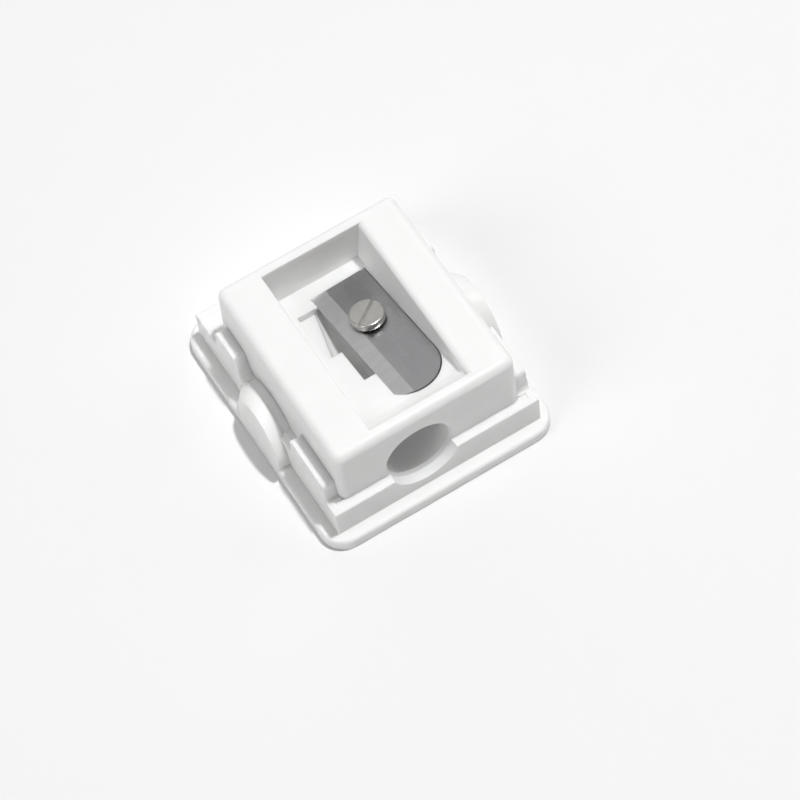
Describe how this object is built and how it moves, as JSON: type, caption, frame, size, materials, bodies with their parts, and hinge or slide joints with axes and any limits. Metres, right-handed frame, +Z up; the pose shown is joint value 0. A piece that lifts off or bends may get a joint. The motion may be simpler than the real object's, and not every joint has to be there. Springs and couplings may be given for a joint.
{
  "type": "cosmetic pencil sharpener",
  "caption": "Small moulded pencil sharpener: a wedge-cut block with a conical pencil bore and a screwed-down blade, set in a rectangular base frame with snap tabs and half-moon grips.",
  "frame": {"origin": "centre of the base plate's underside, which rests on the table", "axes": "+Z up out of the base plate, +Y the way that the pencil goes in, +X to the right as the pencil goes in"},
  "size_m": [0.0296, 0.0342, 0.0144],
  "materials": {
    "white_plastic": "moulded, satin white",
    "block_plastic": "moulded, satin white",
    "blade_steel": "hardened and ground",
    "screw_steel": "plated and turned"
  },
  "bodies": {
    "root": {"base_frame": "white_plastic", "sharpener_body": "block_plastic", "blade": "blade_steel", "blade_screw": "screw_steel"}
  },
  "joints": []
}
